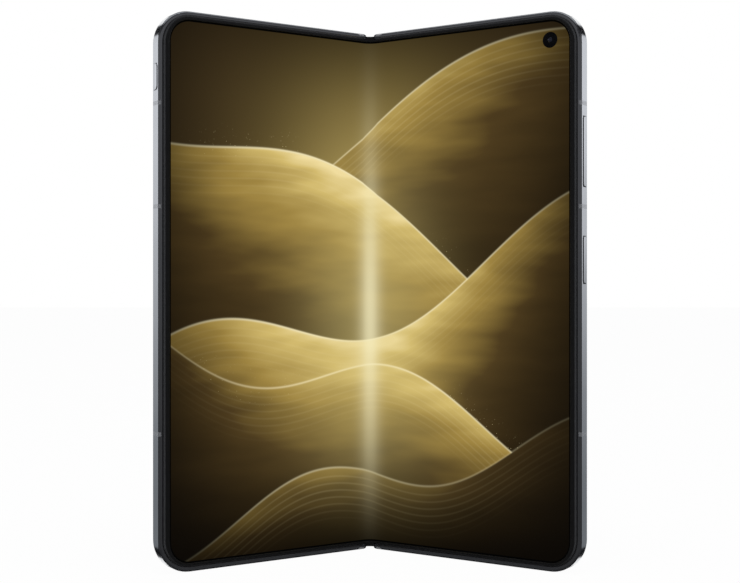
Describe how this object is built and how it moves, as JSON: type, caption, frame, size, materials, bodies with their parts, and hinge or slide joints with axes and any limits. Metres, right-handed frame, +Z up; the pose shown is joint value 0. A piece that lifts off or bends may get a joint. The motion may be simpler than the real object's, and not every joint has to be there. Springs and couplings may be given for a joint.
{
  "type": "foldable smartphone",
  "caption": "Book-style folding phone with a large inner display, round rear camera island, side keys and a geared hinge, standing half open.",
  "frame": {"origin": "centre of the bounding box's bottom face in the half-open rest pose, on the plane that the two bottom rails stand on, midway across the fold", "axes": "+Z up along the fold, +X towards the half that carries the keys and rear cameras, -Y towards the side that the inner display faces"},
  "size_m": [0.1242, 0.0422, 0.1613],
  "materials": {
    "frame": "polished, light steel blue",
    "band": "satin insert",
    "bezel": "matt black, soft touch",
    "screen": "lit folding display",
    "steel": "bare",
    "glass_back": "polished coated glass",
    "glass_front": "polished black glass",
    "island": "turned metal rim and dark glass",
    "ring": "polished",
    "lens": "coated lens glass",
    "black_plastic": "moulded",
    "battery": "foil pouch",
    "board": "solder mask",
    "can": "tinned",
    "copper": "enamelled copper",
    "flash": "diffusing lens",
    "key": "polished, as the frame",
    "hinge_cover": "satin",
    "flex": "polyimide ribbon",
    "bronze": "spring bronze"
  },
  "bodies": {
    "spine": {"hinge_cover": "hinge_cover", "bracket_upper": "steel", "bracket_middle": "steel", "bracket_lower": "steel", "hinge_pins": "steel", "friction_springs": "bronze", "hinge_screws": "steel", "hinge_flex": "flex", "fold_display": "screen", "fold_bezel": "bezel"},
    "left_half": {"left_frame": "frame", "left_antenna_bands": "band", "left_bezel": "bezel", "left_display": "screen", "left_support_plate": "steel", "cover_glass": "glass_front", "cover_display": "glass_front", "cover_camera": "lens", "earpiece": "black_plastic", "left_battery": "battery", "sub_board": "board", "slider_switch": "board", "left_arm_upper": "steel", "left_arm_middle": "steel", "left_arm_lower": "steel", "left_screws": "steel"},
    "right_half": {"right_frame": "frame", "right_antenna_bands": "band", "right_bezel": "bezel", "right_display": "screen", "right_support_plate": "steel", "rear_cover": "glass_back", "camera_island": "island", "lens_rings": "ring", "lens_glasses": "lens", "wide_camera": "black_plastic", "tele_camera": "black_plastic", "ultrawide_camera": "black_plastic", "flash": "flash", "right_battery": "battery", "main_board": "board", "screening_cans": "can", "charging_coil": "copper", "usb_port": "can", "loudspeaker": "black_plastic", "card_reader": "can", "vibration_motor": "steel", "inner_camera": "lens", "key_switches": "board", "right_arm_upper": "steel", "right_arm_middle": "steel", "right_arm_lower": "steel", "right_screws": "steel"},
    "alert_slider": {"alert_slider": "key"},
    "volume_key": {"volume_key": "key"},
    "power_key": {"power_key": "key"},
    "card_tray": {"card_tray": "key"},
    "left_idler": {"left_idler": "bronze"},
    "right_idler": {"right_idler": "bronze"}
  },
  "joints": [
    {"name": "left_fold", "type": "hinge", "parent": "spine", "child": "left_half", "pos_m": [-0.0018, 0.01753, 0.08065], "axis": [0, 0, 1], "range_deg": [-32.7, 57.3], "deforming": ["fold_display", "fold_bezel"]},
    {"name": "right_fold", "type": "hinge", "parent": "spine", "child": "right_half", "pos_m": [0.0018, 0.01753, 0.08065], "axis": [0, 0, -1], "range_deg": [-32.7, 57.3], "deforming": ["fold_display", "fold_bezel"]},
    {"name": "left_idler_spin", "type": "hinge", "parent": "spine", "child": "left_idler", "pos_m": [-0.00075, 0.0186, 0.0843], "axis": [0, 0, -1], "range_deg": [-32.7, 57.3]},
    {"name": "right_idler_spin", "type": "hinge", "parent": "spine", "child": "right_idler", "pos_m": [0.00075, 0.0186, 0.0843], "axis": [0, 0, 1], "range_deg": [-32.7, 57.3]},
    {"name": "volume_press", "type": "slide", "parent": "right_half", "child": "volume_key", "axis": [-0.8415, 0.5402, 0], "range_m": [0, 0.0003], "stiffness_N_per_m": 1500, "springref_m": -0.0003},
    {"name": "power_press", "type": "slide", "parent": "right_half", "child": "power_key", "axis": [-0.8415, 0.5402, 0], "range_m": [0, 0.0003], "stiffness_N_per_m": 1500, "springref_m": -0.0003},
    {"name": "alert_slide", "type": "slide", "parent": "left_half", "child": "alert_slider", "axis": [0, 0, 1], "range_m": [-0.0012, 0.0012]},
    {"name": "tray_slide", "type": "slide", "parent": "right_half", "child": "card_tray", "axis": [0, 0, -1], "range_m": [0, 0.024]}
  ],
  "couplings": [
    {"joint": "right_fold", "follows": "left_fold", "ratio": 1},
    {"joint": "left_idler_spin", "follows": "left_fold", "ratio": 1},
    {"joint": "right_idler_spin", "follows": "left_fold", "ratio": 1}
  ]
}
